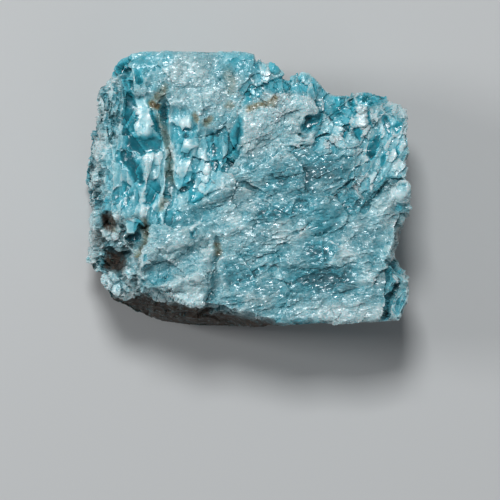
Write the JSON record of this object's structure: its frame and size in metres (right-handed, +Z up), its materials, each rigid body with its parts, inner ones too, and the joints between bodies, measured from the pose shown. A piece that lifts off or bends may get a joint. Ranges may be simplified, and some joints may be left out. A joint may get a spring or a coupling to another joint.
{
  "type": "rough apatite",
  "caption": "Rough broken lump of blue-green apatite with a foliated upper face, a crystal-lined bay and a flat resting face.",
  "frame": {"origin": "centre of the bounding box at the ground, under the stone", "axes": "+X along the longest side, +Y towards the straight block at the picture's upper edge, +Z up from the resting face"},
  "size_m": [0.0292, 0.0252, 0.0133],
  "materials": {
    "apatite": "broken mineral: pale grey-blue matte skin over glassy teal fracture faces"
  },
  "bodies": {
    "root": {"apatite": "apatite"}
  },
  "joints": []
}
